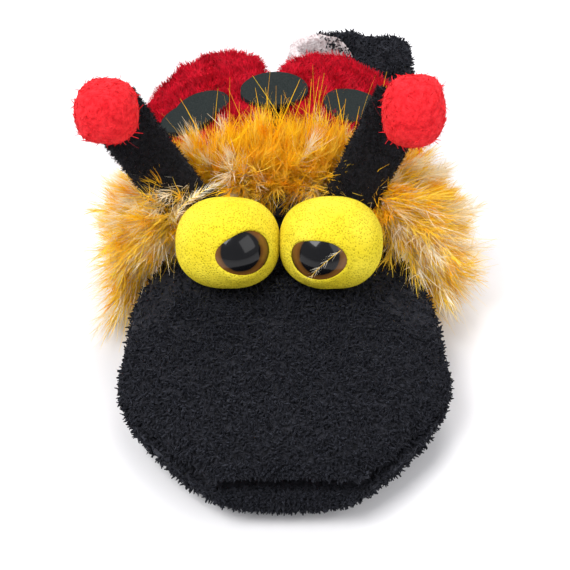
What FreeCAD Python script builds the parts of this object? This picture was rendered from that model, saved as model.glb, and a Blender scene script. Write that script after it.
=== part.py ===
import FreeCAD, Part
import os
import Sketcher

# Ladybird sock puppet lying flat, facing -Y, with its underside on Z = 0.
# All lengths are millimetres and all angles are degrees.

doc = FreeCAD.newDocument("sock_puppet")
Vector = FreeCAD.Vector
Rotation = FreeCAD.Rotation

SIZES = {
    # fabric and general gaps
    "wall": 2.4,
    "spare": 0.3,
    # mouth
    "lip_front": -165.5,
    "mouth_back": -110,
    "mouth_level": 18.5,
    "lip_gap": 0.4,
    "knuckle": 17,
    "knuckle_half": 62,
    "cheek_front": -102,
    "board_thick": 2,
    "palate_thick": 1.6,
    "mouth_inset": 8,
    "mouth_depth": 46,
    # neck and leg of the sock
    "neck_end": -4.6,
    "leg_start": -3.4,
    "neck_half": 46,
    "neck_top": 38.5,
    "heel_x": 39.5,
    "heel_y": 142.5,
    "heel_long": 36.5,
    "heel_short": 23,
    "heel_top": 40,
    "lining": 1.6,
    "lining_deep": 22,
    # eyes
    "ball": 20.5,
    "ball_y": -73.5,
    "ball_z": 57,
    "ball_foot": 39.1,
    "iris": 12,
    "iris_curve": 14,
    "iris_seat": 15.5,
    "pupil": 7.25,
    "stem": 2.6,
    "stem_long": 13,
    # antennae
    "strip_wide": 23,
    "strip_thick": 7,
    "strip_left": 69,
    "strip_right": 66.3,
    "root_y": -48,
    "root_z": 41.2,
    "pompom": 14.7,
    # feather boa
    "boa_y": -22,
    "boa_half": 48.5,
    "boa_tube": 14,
    "boa_string": 1.5,
    # wings
    "wing_front": 0,
    "wing_gap": 16,
    "left_yaw": 2,
    "right_yaw": 7,
    "left_wing_long": 66,
    "right_wing_long": 60,
    "wing_broad": 40,
    "wing_under": 40.9,
    "wing_top": 50.5,
    "wing_under_curve": 300,
    "wing_top_curve": 185,
    "spot_thick": 2.2,
    "big_spot": 17.5,
    "small_spot": 14,
    "right_spot": 16.5,
}


def make_sheet():
    """Put every named size in a spreadsheet that the shapes read."""
    sheet = doc.addObject("Spreadsheet::Sheet", "Sizes")
    for row, (name, value) in enumerate(SIZES.items(), 1):
        sheet.set(f"A{row}", name)
        sheet.set(f"B{row}", str(value))
        sheet.setAlias(f"B{row}", name)
    doc.recompute()
    return sheet


sizes = make_sheet()


def bind(obj, prop, value):
    """Set a property to a number, or tie it to a formula of named sizes."""
    if isinstance(value, str):
        obj.setExpression(prop, value)
    else:
        setattr(obj, prop, value)


def number(value):
    """Give the present value of a number or of a formula of named sizes."""
    if isinstance(value, str):
        return float(sizes.evalExpression(value))
    return float(value)


def place(obj, at, turn=None):
    """Move an object to a point, given as numbers or formulas, and turn it."""
    point = Vector(*[number(value) for value in at])
    obj.Placement = FreeCAD.Placement(point, turn or Rotation())
    for axis, value in zip("xyz", at):
        if isinstance(value, str):
            obj.setExpression(f"Placement.Base.{axis}", value)
    return obj


def solid(kind, name, at=(0, 0, 0), turn=None, **props):
    """Make a primitive solid with its sizes tied to the sheet."""
    obj = doc.addObject(f"Part::{kind}", name)
    for prop, value in props.items():
        bind(obj, prop, value)
    return place(obj, at, turn)


def cut(name, base, tool):
    """Take one solid away from another."""
    obj = doc.addObject("Part::Cut", name)
    obj.Base = base
    obj.Tool = tool
    doc.recompute()
    return obj


def carve(name, base, *tools):
    """Take several solids away, one after another."""
    for count, tool in enumerate(tools, 1):
        label = name if count == len(tools) else f"{name}_cut_{count}"
        base = cut(label, base, tool)
    return base


def fuse(name, *parts):
    """Join solids into one."""
    obj = doc.addObject("Part::MultiFuse", name)
    obj.Shapes = list(parts)
    doc.recompute()
    return obj


def common(name, *parts):
    """Keep only what all the solids share."""
    obj = doc.addObject("Part::MultiCommon", name)
    obj.Shapes = list(parts)
    doc.recompute()
    return obj


def block(name, low, high):
    """Make a box between two opposite corners."""
    span = [f"({b}) - ({a})" for a, b in zip(low, high)]
    return solid("Box", name, low, Length=span[0], Width=span[1], Height=span[2])


def own_plane(body, role):
    """Find one of the base planes that belong to a body."""
    for feature in body.Origin.OriginFeatures:
        if feature.Role == role:
            return feature


def new_sketch(body, name, role, offset=0):
    """Start a sketch on a body's base plane, moved along the plane's normal."""
    sketch = body.newObject("Sketcher::SketchObject", name)
    sketch.AttachmentSupport = [(own_plane(body, role), "")]
    sketch.MapMode = "FlatFace"
    sketch.setExpression("AttachmentOffset.Base.z", str(offset))
    return sketch


def fix_point(sketch, geo, point, where):
    """Hold a sketch point at a place given by two formulas."""
    for kind, formula in zip(("DistanceX", "DistanceY"), where):
        value = number(str(formula))
        index = sketch.addConstraint(Sketcher.Constraint(kind, -1, 1, geo, point, value))
        sketch.setExpression(f"Constraints[{index}]", str(formula))


def slot_section(sketch, half, low, high, shift="0"):
    """Draw a slot outline: two flat sides joined by half circles."""
    round_size = f"(({high}) - ({low})) / 2"
    level = f"(({high}) + ({low})) / 2"
    right = f"({shift}) + ({half}) - ({round_size})"
    left = f"({shift}) - ({half}) + ({round_size})"
    radius = number(round_size)
    height = number(level)
    right_x = number(right)
    left_x = number(left)
    normal = Vector(0, 0, 1)
    ends = ((left_x, 1.5708, 4.7124), (right_x, -1.5708, 1.5708))
    for centre_x, start, stop in ends:
        circle = Part.Circle(Vector(centre_x, height, 0), normal, radius)
        sketch.addGeometry(Part.ArcOfCircle(circle, start, stop), False)
    for step in (radius, -radius):
        start = Vector(left_x, height + step, 0)
        stop = Vector(right_x, height + step, 0)
        sketch.addGeometry(Part.LineSegment(start, stop), False)
    joins = ((0, 1, 2, 1), (0, 2, 3, 1), (1, 2, 2, 2), (1, 1, 3, 2))
    for join in joins:
        sketch.addConstraint(Sketcher.Constraint("Tangent", *join))
    sketch.addConstraint(Sketcher.Constraint("Equal", 0, 1))
    fix_point(sketch, 0, 3, (left, level))
    fix_point(sketch, 1, 3, (right, level))
    index = sketch.addConstraint(Sketcher.Constraint("Radius", 0, radius))
    sketch.setExpression(f"Constraints[{index}]", round_size)


def sleeve(name, stations):
    """Loft a soft tube through slot outlines: y, half width, low, high, shift."""
    body = doc.addObject("PartDesign::Body", name)
    outlines = []
    for count, (along, half, low, high, shift) in enumerate(stations):
        sketch = new_sketch(body, f"{name}_outline_{count}", "XZ_Plane", f"-({along})")
        slot_section(sketch, half, low, high, shift)
        outlines.append(sketch)
    doc.recompute()
    loft = body.newObject("PartDesign::AdditiveLoft", f"{name}_loft")
    loft.Profile = outlines[0]
    loft.Sections = outlines[1:]
    loft.Ruled = True
    body.Tip = loft
    doc.recompute()
    return body


def grown(stations, step):
    """Shrink or grow every outline of a tube by one wall."""
    changed = []
    for along, half, low, high, shift in stations:
        changed.append(
            (along, f"{half} + ({step})", f"{low} - ({step})", f"{high} + ({step})", shift)
        )
    return changed


HEAD_STATIONS = [
    ("Sizes.lip_front", "27", "5", "27", "0"),
    ("-163", "32.5", "2.8", "29.5", "0"),
    ("-158", "39", "1.2", "32", "0"),
    ("-150", "47", "0.4", "34", "0"),
    ("-138", "57.5", "0", "35.5", "0"),
    ("-125", "64", "0", "36.5", "0"),
    ("Sizes.cheek_front", "65", "0", "38", "0"),
    ("-86", "64.2", "0", "38.8", "0"),
    ("-72", "62.3", "0", "39", "0"),
    ("-58", "58.5", "0", "39", "0"),
    ("-44", "53", "0", "39", "0"),
    ("-28", "48", "0", "39", "0"),
    ("Sizes.neck_end", "Sizes.neck_half", "0", "Sizes.neck_top", "0"),
]

JAW_STATIONS = [
    ("-164.5", "25.5", "8", "26", "0"),
    ("-162", "31", "6.8", "28", "0"),
    ("-157", "37.8", "6", "30", "0"),
    ("-149", "45.8", "5", "31.5", "0"),
    ("-138", "55.5", "3.6", "33", "0"),
    ("-125", "61.8", "2.4", "34.4", "0"),
    (
        "Sizes.mouth_back",
        "Sizes.knuckle_half",
        "Sizes.mouth_level - Sizes.knuckle",
        "Sizes.mouth_level + Sizes.knuckle",
        "0",
    ),
]

LEG_STATIONS = [
    ("Sizes.leg_start", "Sizes.neck_half", "-0.3", "Sizes.neck_top - 0.8", "0"),
    ("40", "46.5", "-0.3", "37.4", "0.5"),
    ("70", "45.5", "-0.3", "36.4", "4"),
    ("95", "43", "-0.3", "34", "12"),
    ("118", "39", "-0.3", "31.5", "25"),
    ("140", "34", "-0.3", "31", "Sizes.heel_x"),
]


def knuckle(name, extra):
    """A roller shape across the back of the mouth with rounded ends."""
    radius = f"Sizes.knuckle + ({extra})"
    half = "Sizes.knuckle_half - Sizes.knuckle"
    middle = ("Sizes.mouth_back", "Sizes.mouth_level")
    along_x = Rotation(Vector(0, 1, 0), 90)
    bar = solid("Cylinder", f"{name}_bar", (f"-({half})", *middle), along_x,
                Radius=radius, Height=f"2 * ({half})")
    left = solid("Sphere", f"{name}_left", (f"-({half})", *middle), Radius=radius)
    right = solid("Sphere", f"{name}_right", (half, *middle), Radius=radius)
    return fuse(name, bar, left, right)


def mouth_sheet(name, low, thick, grow="0"):
    """A flat half of the folded mouthpiece, cut to the shape of the lips."""
    body = doc.addObject("PartDesign::Body", name)
    sketch = new_sketch(body, f"{name}_outline", "XY_Plane")
    back = "Sizes.mouth_back - 1.5"
    front = f"Sizes.mouth_back - Sizes.mouth_depth - ({grow})"
    wide = f"Sizes.knuckle_half - Sizes.mouth_inset + ({grow})"
    narrow = f"30 - Sizes.mouth_inset + ({grow})"
    bend = "-128"
    corners = [
        (f"-({wide})", back), (f"-({wide})", bend), (f"-({narrow})", front),
        (narrow, front), (wide, bend), (wide, back),
    ]
    spots = [Vector(number(x), number(y), 0) for x, y in corners]
    count = len(spots)
    for index in range(count):
        line = Part.LineSegment(spots[index], spots[(index + 1) % count])
        sketch.addGeometry(line, False)
    for index in range(count):
        following = (index + 1) % count
        sketch.addConstraint(Sketcher.Constraint("Coincident", index, 2, following, 1))
    for index, corner in enumerate(corners):
        fix_point(sketch, index, 1, corner)
    doc.recompute()
    pad = body.newObject("PartDesign::Pad", f"{name}_pad")
    pad.Profile = sketch
    bind(pad, "Length", thick)
    doc.recompute()
    rounded = []
    for index, edge in enumerate(pad.Shape.Edges, 1):
        first, last = edge.Vertexes[0].Point, edge.Vertexes[-1].Point
        upright = abs(first.x - last.x) < 1e-6 and abs(first.y - last.y) < 1e-6
        if upright and first.y < -120:
            rounded.append(f"Edge{index}")
    fillet = body.newObject("PartDesign::Fillet", f"{name}_fillet")
    fillet.Base = (pad, rounded)
    fillet.Radius = 12
    body.Tip = fillet
    place(body, (0, 0, low))
    doc.recompute()
    return body


def make_mouth():
    """The card stiffeners and the felt palate, lower half then upper half."""
    under = "Sizes.mouth_level - Sizes.lip_gap / 2"
    over = "Sizes.mouth_level + Sizes.lip_gap / 2"
    depth = "Sizes.board_thick + Sizes.palate_thick"
    lower_low = f"{under} - ({depth}) - 0.2"
    board = mouth_sheet("lower_mouth_board", lower_low, "Sizes.board_thick")
    palate = mouth_sheet("lower_palate", f"{lower_low} + Sizes.board_thick", "Sizes.palate_thick")
    lower_tool = mouth_sheet("lower_recess", lower_low, "10", "0.15")
    upper_low = f"{over} + 0.2"
    upper_palate = mouth_sheet("upper_palate", upper_low, "Sizes.palate_thick")
    upper_board = mouth_sheet("upper_mouth_board", f"{upper_low} + Sizes.palate_thick",
                              "Sizes.board_thick")
    upper_tool = mouth_sheet("upper_recess", f"{upper_low} - 6.4", f"{depth} + 6.4", "0.15")
    return [board, palate, upper_palate, upper_board], lower_tool, upper_tool


def make_head(lower_tool):
    """Neck, cheeks and lower jaw of the sock, with the hand space inside."""
    outer = sleeve("head_outer", HEAD_STATIONS)
    hand = sleeve("hand_space", [
        ("-106", "62", "Sizes.wall", "35.4", "0"),
        *grown(HEAD_STATIONS[-6:-1], "-Sizes.wall"),
        ("Sizes.neck_end + 1", "Sizes.neck_half - Sizes.wall", "Sizes.wall",
         "Sizes.neck_top - Sizes.wall", "0"),
    ])
    above = "Sizes.mouth_level - Sizes.lip_gap / 2"
    mouth = block("mouth_clearance", (-90, -180, above), (90, "Sizes.cheek_front", 60))
    roller = knuckle("knuckle_room", "Sizes.spare + 0.1")
    behind = block("behind_mouth", (-90, "Sizes.mouth_back - 0.3", -10), (90, -60, 60))
    room = common("cheek_room", roller, behind)
    thumb = sleeve("thumb_space", [
        ("-150", "36", "Sizes.wall", "11.8", "0"),
        ("-128", "44", "Sizes.wall", "11.8", "0"),
        ("-104", "46", "Sizes.wall", "11.8", "0"),
    ])
    return carve("sock_head", outer, mouth, hand, room, thumb, lower_tool)


def make_upper_jaw(upper_tool):
    """Upper jaw of the sock, with a rolled back that turns inside the cheeks."""
    outer = sleeve("jaw_outer", JAW_STATIONS)
    above = "Sizes.mouth_level + Sizes.lip_gap / 2"
    ahead = block("jaw_half", (-90, -180, above), (90, "Sizes.mouth_back + 0.01", 60))
    front = common("jaw_front", outer, ahead)
    roller = knuckle("knuckle_roll", "0")
    behind = block("jaw_back_half", (-90, "Sizes.mouth_back", above), (90, -80, 60))
    back = common("jaw_back", roller, behind)
    whole = fuse("jaw_whole", front, back)
    fingers = sleeve("finger_space", [
        ("-155", "31", "24.2", "27.2", "0"),
        ("-145", "39", "24.2", "29.6", "0"),
        ("-125", "51", "24.2", "31.6", "0"),
        ("-109", "51", "24.2", "32.4", "0"),
        ("-85", "51", "24.2", "32.4", "0"),
    ])
    return carve("sock_upper_jaw", whole, fingers, upper_tool)


def oval_post(name, grow, low, high):
    """An upright oval column at the far end of the sock."""
    outline = solid("Ellipse", f"{name}_outline", ("Sizes.heel_x", "Sizes.heel_y", low),
                    MajorRadius=f"Sizes.heel_long + ({grow})",
                    MinorRadius=f"Sizes.heel_short + ({grow})")
    post = doc.addObject("Part::Extrusion", name)
    post.Base = outline
    post.Dir = Vector(0, 0, 1)
    post.DirMode = "Custom"
    post.Solid = True
    post.setExpression("LengthFwd", f"({high}) - ({low})")
    doc.recompute()
    return post


def make_leg():
    """Leg of the sock: a flat tube whose end turns up to an open cuff."""
    tube = sleeve("leg_outer", LEG_STATIONS)
    heel = oval_post("leg_heel", "0", "0", "Sizes.heel_top")
    outer = fuse("leg_whole", tube, heel)
    space = sleeve("arm_space", [
        ("Sizes.leg_start - 1", "Sizes.neck_half - Sizes.wall", "Sizes.wall",
         "Sizes.neck_top - 0.8 - Sizes.wall", "0"),
        *grown(LEG_STATIONS[1:], "-Sizes.wall"),
    ])
    sole = block("leg_sole", (-90, -20, -10), (120, 180, 0))
    well = oval_post("leg_well", "-Sizes.wall", "Sizes.wall", "60")
    leg = carve("sock_leg", outer, space, well, sole)
    low = "Sizes.heel_top - 1 - Sizes.lining_deep"
    ring = oval_post("lining_outer", "-Sizes.wall - 0.05", low, "Sizes.heel_top - 1")
    bore = oval_post("lining_bore", "-Sizes.wall - Sizes.lining", "2", "60")
    lining = carve("cuff_lining", ring, bore, space)
    return leg, lining


def make_eye(side, centre_x, gaze):
    """Foam ball with a domed plastic eye pressed into its front."""
    turn = Rotation(Vector(0, 0, 1), gaze)
    centre = Vector(centre_x, number("Sizes.ball_y"), number("Sizes.ball_z"))
    gaze = Vector(gaze).normalize()

    def on_axis(distance):
        point = centre + gaze * number(distance)
        return (point.x, point.y, point.z)

    drop = "sqrt(Sizes.iris_curve ^ 2 - Sizes.iris ^ 2)"
    cap_angle = "asin(sqrt(Sizes.iris_curve ^ 2 - Sizes.iris ^ 2) / Sizes.iris_curve)"
    curve_at = on_axis(f"Sizes.iris_seat - {drop}")
    seat_at = on_axis("Sizes.iris_seat")

    ball = solid("Sphere", f"{side}_ball", (centre_x, "Sizes.ball_y", "Sizes.ball_z"),
                 Radius="Sizes.ball")
    socket = solid("Cylinder", f"{side}_socket", seat_at, turn,
                   Radius="Sizes.iris + 0.15", Height=20)
    shank_at = on_axis("Sizes.iris_seat - Sizes.stem_long - 0.1")
    shank_hole = solid("Cylinder", f"{side}_shank_hole", shank_at, turn,
                       Radius="Sizes.stem + 0.05", Height="Sizes.stem_long + 1")
    foot = block(f"{side}_foot", (-90, -180, 0), (90, 0, "Sizes.ball_foot"))
    foam = carve(f"{side}_eye_ball", ball, socket, shank_hole, foot)

    dome = solid("Sphere", f"{side}_dome", curve_at, turn,
                 Radius="Sizes.iris_curve", Angle1=cap_angle)
    bore = solid("Cylinder", f"{side}_iris_bore", curve_at, turn,
                 Radius="Sizes.pupil + 0.05", Height=30)
    iris = cut(f"{side}_iris", dome, bore)
    core = solid("Sphere", f"{side}_pupil_dome", curve_at, turn,
                 Radius="Sizes.iris_curve + 0.3")
    plug = solid("Cylinder", f"{side}_pupil_plug", seat_at, turn,
                 Radius="Sizes.pupil", Height=30)
    pupil = common(f"{side}_pupil", core, plug)
    stem_at = on_axis("Sizes.iris_seat - Sizes.stem_long - 0.05")
    stem = solid("Cylinder", f"{side}_eye_stem", stem_at, turn,
                 Radius="Sizes.stem", Height="Sizes.stem_long")
    return [foam, iris, pupil, stem]


def make_antenna(side, root_x, splay, twist, length):
    """Flat velvet strip standing behind an eye, with a pompom at its tip."""
    lean = Rotation(Vector(1, 0, 0), -14)
    spread = Rotation(Vector(0, 1, 0), splay)
    turn = spread.multiply(lean).multiply(Rotation(Vector(0, 0, 1), twist))
    root = Vector(root_x, number("Sizes.root_y"), number("Sizes.root_z"))

    body = doc.addObject("PartDesign::Body", f"{side}_strip")
    sketch = new_sketch(body, f"{side}_strip_outline", "XY_Plane", "-14")
    half_thick = "Sizes.strip_thick / 2"
    slot_section(sketch, "Sizes.strip_wide / 2", f"-{half_thick}", half_thick)
    pad = body.newObject("PartDesign::Pad", f"{side}_strip_pad")
    pad.Profile = sketch
    pad.setExpression("Length", f"{length} + 14")
    body.Tip = pad
    body.Placement = FreeCAD.Placement(root, turn)
    doc.recompute()
    above = block(f"{side}_root_cut", (-150, -150, "Sizes.root_z"), (150, 60, 200))
    strip = common(f"{side}_antenna", body, above)

    reach = number("Sizes.pompom + Sizes.strip_thick / 2 + 0.05")
    tip = root + turn.multVec(Vector(0, -reach, number(length)))
    pompom = solid("Sphere", f"{side}_pompom", (tip.x, tip.y, tip.z),
                   Radius="Sizes.pompom")
    return [strip, pompom]


def boa_arch(name, tube):
    """A thick rope arched over the neck from one side to the other."""
    flat = "Sizes.boa_half - 19.5"
    bend = "19.5 + Sizes.boa_tube + Sizes.spare"
    level = "19.5"
    side = f"{flat} + {bend}"
    foot = "Sizes.boa_tube + Sizes.spare"
    pieces = [
        solid("Cylinder", f"{name}_top", (f"-({flat})", "Sizes.boa_y", f"{level} + {bend}"),
              Rotation(Vector(0, 1, 0), 90), Radius=tube, Height=f"2 * ({flat})"),
    ]
    for word, sign, spin in (("left", "-1", 90), ("right", "1", 0)):
        upright = Rotation(Vector(1, 0, 0), 90).multiply(Rotation(Vector(0, 0, 1), spin))
        pieces.append(solid("Torus", f"{name}_{word}_bend",
                            (f"{sign} * ({flat})", "Sizes.boa_y", level), upright,
                            Radius1=bend, Radius2=tube, Angle3=90))
        pieces.append(solid("Cylinder", f"{name}_{word}_drop",
                            (f"{sign} * ({side})", "Sizes.boa_y", foot),
                            Radius=tube, Height=f"{level} - ({foot})"))
        pieces.append(solid("Sphere", f"{name}_{word}_end",
                            (f"{sign} * ({side})", "Sizes.boa_y", foot), Radius=tube))
    return fuse(name, *pieces)


def make_boa():
    """Marabou boa: a thin string inside a thick ring of down."""
    string = boa_arch("boa_string", "Sizes.boa_string")
    down = boa_arch("boa_down", "Sizes.boa_tube")
    hole = boa_arch("boa_hole", "Sizes.boa_string + 0.05")
    feathers = cut("boa_feathers", down, hole)
    return [string, feathers]


def back_curve(name, top, curve, start, stop):
    """A long cylinder along Y whose crown passes over the back."""
    return solid("Cylinder", name, (0, start, f"{top} - ({curve})"),
                 Rotation(Vector(1, 0, 0), -90), Radius=curve, Height=stop - start)


def make_wings():
    """Two padded plush wing cases curved over the back."""
    crown = back_curve("wing_crown", "Sizes.wing_top", "Sizes.wing_top_curve", -20, 180)
    under = back_curve("wing_under", "Sizes.wing_under", "Sizes.wing_under_curve", -30, 190)
    cover = cut("wing_cover", crown, under)
    wings = []
    for side, sign in (("left", "-1"), ("right", "1")):
        long = f"Sizes.{side}_wing_long"
        centre = f"{sign} * (Sizes.wing_broad - 6)"
        outline = solid("Ellipse", f"{side}_wing_outline",
                        (centre, f"{long} - 14", 0),
                        Rotation(Vector(0, 0, 1), 90),
                        MajorRadius=long, MinorRadius="Sizes.wing_broad")
        prism = doc.addObject("Part::Extrusion", f"{side}_wing_prism")
        prism.Base = outline
        prism.Dir = Vector(0, 0, 1)
        prism.DirMode = "Custom"
        prism.Solid = True
        prism.LengthFwd = 90
        low_x = "Sizes.wing_gap / 2" if sign == "1" else "-100"
        high_x = "100" if sign == "1" else "-Sizes.wing_gap / 2"
        half = block(f"{side}_wing_half", (low_x, "Sizes.wing_front", 0), (high_x, 180, 90))
        shape = common(f"{side}_wing_plan", prism, half)
        place(shape, (0, 0, 0), Rotation(Vector(0, 0, 1), number(f"Sizes.{side}_yaw")))
        wings.append(common(f"{side}_wing", cover, shape))
    return wings


def make_spot(name, x, y, radius, layer):
    """Soft round foam spot lying on the wings, bent to their curve."""
    low = f"Sizes.wing_top_curve + 0.05 + {layer} * (Sizes.spot_thick + 0.05)"
    high = f"{low} + Sizes.spot_thick"
    centre = "Sizes.wing_top - Sizes.wing_top_curve"
    outer = back_curve(f"{name}_outer", f"{centre} + {high}", high, -20, 180)
    inner = back_curve(f"{name}_inner", f"{centre} + {low}", low, -30, 190)
    layer_shape = cut(f"{name}_layer", outer, inner)
    column = solid("Cylinder", f"{name}_column", (x, y, 0), Radius=radius, Height=90)
    return common(name, layer_shape, column)


def check_solids(parts):
    """Stop if a feature failed or a sub-part is not one valid solid."""
    for obj in doc.Objects:
        if "Invalid" in obj.State or "Error" in obj.State:
            raise RuntimeError(f"{obj.Label} did not build")
    for part in parts:
        shape = part.Shape
        if shape.isNull() or not shape.isValid() or len(shape.Solids) != 1:
            raise RuntimeError(f"{part.Label} is not one valid solid")


def write_parts(parts):
    """Write one STEP file for each sub-part."""
    os.makedirs("parts", exist_ok=True)
    for part in parts:
        part.Shape.exportStep(f"parts/{part.Label}.step")


mouth_parts, lower_tool, upper_tool = make_mouth()
parts = list(mouth_parts)
head = make_head(lower_tool)
parts.append(head)
jaw = make_upper_jaw(upper_tool)
parts.append(jaw)
parts.extend(make_leg())
parts.extend(make_eye("left", -22.9, Vector(0.394, -0.849, 0.351)))
parts.extend(make_eye("right", 18.3, Vector(-0.334, -0.905, 0.264)))
parts.extend(make_antenna("left", -32.5, -36, 18, "Sizes.strip_left"))
parts.extend(make_antenna("right", 20, 26, 0, "Sizes.strip_right"))
parts.extend(make_boa())
parts.extend(make_wings())
parts.append(make_spot("centre_spot", -5.6, 63, "Sizes.big_spot", 0))
parts.append(make_spot("left_rear_spot", -42.5, 54, "Sizes.small_spot", 0))
parts.append(make_spot("left_front_spot", -48.5, 41, "Sizes.small_spot", 1))
parts.append(make_spot("right_spot", 36, 51, "Sizes.right_spot", 0))

doc.recompute()
check_solids(parts)
if head.Shape.Volume > 0.6 * doc.getObject("head_outer").Shape.Volume:
    raise RuntimeError("the hand space was not cut")
if jaw.Shape.Volume > 0.9 * doc.getObject("jaw_whole").Shape.Volume:
    raise RuntimeError("the finger space was not cut")
write_parts(parts)
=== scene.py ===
import math

import bpy
import numpy as np
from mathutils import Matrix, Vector


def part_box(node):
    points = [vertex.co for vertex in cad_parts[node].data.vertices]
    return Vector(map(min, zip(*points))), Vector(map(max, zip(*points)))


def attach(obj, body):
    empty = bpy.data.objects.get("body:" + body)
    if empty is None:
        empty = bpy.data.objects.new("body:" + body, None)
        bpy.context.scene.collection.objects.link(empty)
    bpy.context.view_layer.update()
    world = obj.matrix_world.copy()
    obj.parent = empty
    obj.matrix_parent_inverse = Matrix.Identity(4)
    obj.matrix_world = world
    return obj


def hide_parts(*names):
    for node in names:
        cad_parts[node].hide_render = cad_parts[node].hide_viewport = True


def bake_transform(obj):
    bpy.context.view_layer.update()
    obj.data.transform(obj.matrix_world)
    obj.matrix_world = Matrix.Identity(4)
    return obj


# A ladybird sock puppet. Lengths are written in millimetres and turned into metres.

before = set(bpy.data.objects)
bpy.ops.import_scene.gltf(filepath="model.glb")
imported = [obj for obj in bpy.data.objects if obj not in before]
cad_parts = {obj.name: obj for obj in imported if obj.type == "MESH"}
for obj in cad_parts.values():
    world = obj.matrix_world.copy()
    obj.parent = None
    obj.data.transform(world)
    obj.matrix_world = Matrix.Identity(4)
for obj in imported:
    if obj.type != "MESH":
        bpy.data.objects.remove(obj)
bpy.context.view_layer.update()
MM = 0.001


# ---------------------------------------------------------------- geometry helpers

def unit(v):
    return v / np.maximum(np.linalg.norm(v, axis=-1, keepdims=True), 1e-9)


def box_of(node):
    """The centre and half size of a CAD node, in millimetres."""
    low, high = (np.array(p, float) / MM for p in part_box(node))
    return (low + high) / 2, (high - low) / 2


def power(value, exponent):
    return np.sign(value) * np.abs(value) ** exponent


def smooth(value, low, high):
    t = np.clip((value - low) / (high - low), 0, 1)
    return t * t * (3 - 2 * t)


def curve_at(table, where):
    """A smooth line through (place, value) pairs."""
    places = np.array([row[0] for row in table], float)
    values = np.array([row[1] for row in table], float)
    slopes = np.gradient(values, places)
    where = np.clip(np.asarray(where, float), places[0], places[-1])
    left = np.clip(np.searchsorted(places, where) - 1, 0, len(places) - 2)
    span = places[left + 1] - places[left]
    t = (where - places[left]) / span
    return (
        values[left] * (2 * t**3 - 3 * t**2 + 1)
        + slopes[left] * span * (t**3 - 2 * t**2 + t)
        + values[left + 1] * (3 * t**2 - 2 * t**3)
        + slopes[left + 1] * span * (t**3 - t**2)
    )


def ripple(points, size, seed, reach):
    """A smooth random wobble made of a few waves."""
    rng = np.random.default_rng(seed)
    total = np.zeros(len(points))
    for _ in range(6):
        direction = unit(rng.normal(size=3))
        phase = rng.uniform(0, 6.28)
        length = size * rng.uniform(0.6, 1.5)
        total += np.sin(points @ direction * 6.283 / length + phase)
    return total / 6 * reach


def grid_faces(rows, columns, closed):
    """Quads over a grid of points, joined round when closed."""
    r, c = np.meshgrid(np.arange(rows - 1), np.arange(columns if closed else columns - 1),
                       indexing="ij")
    n = (c + 1) % columns
    quads = np.stack([r * columns + c, r * columns + n,
                      (r + 1) * columns + n, (r + 1) * columns + c], axis=-1)
    return quads.reshape(-1, 4)


def build(name, layers, materials):
    """One mesh object from layers of (points in mm, faces, material number)."""
    points, corners, sizes, kinds = [], [], [], []
    start = 0
    for verts, faces, kind in layers:
        points.append(verts)
        corners.append((faces + start).ravel())
        sizes.append(np.full(len(faces), faces.shape[1]))
        kinds.append(np.full(len(faces), kind))
        start += len(verts)
    points = np.concatenate(points) * MM
    corners = np.concatenate(corners).astype(np.int32)
    sizes = np.concatenate(sizes).astype(np.int32)
    kinds = np.concatenate(kinds).astype(np.int32)
    mesh = bpy.data.meshes.new(name)
    mesh.vertices.add(len(points))
    mesh.vertices.foreach_set("co", points.ravel())
    mesh.loops.add(len(corners))
    mesh.loops.foreach_set("vertex_index", corners)
    mesh.polygons.add(len(sizes))
    starts = np.concatenate([[0], np.cumsum(sizes)[:-1]]).astype(np.int32)
    mesh.polygons.foreach_set("loop_start", starts)
    mesh.polygons.foreach_set("material_index", kinds)
    mesh.polygons.foreach_set("use_smooth", np.ones(len(sizes), bool))
    for material in materials:
        mesh.materials.append(material)
    mesh.update(calc_edges=True)
    mesh.validate()
    obj = bpy.data.objects.new(name, mesh)
    bpy.context.scene.collection.objects.link(obj)
    return obj


def quad_frame(points, quads):
    """Areas and outward normals of quads."""
    a, b, c, d = (points[quads[:, i]] for i in range(4))
    cross = np.cross(c - a, d - b)
    return np.linalg.norm(cross, axis=1) / 2, unit(cross)


def scatter(points, quads, count, rng, weight=None):
    """Random places on a skin, with the skin's normal at each."""
    area, normal = quad_frame(points, quads)
    if weight is not None:
        area = area * weight(points[quads].mean(axis=1), normal)
    pick = rng.choice(len(quads), size=count, p=area / area.sum())
    u, v = rng.uniform(size=(2, count, 1))
    a, b, c, d = (points[quads[pick, i]] for i in range(4))
    place = (a * (1 - u) + b * u) * (1 - v) + (d * (1 - u) + c * u) * v
    return place, normal[pick]


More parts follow.
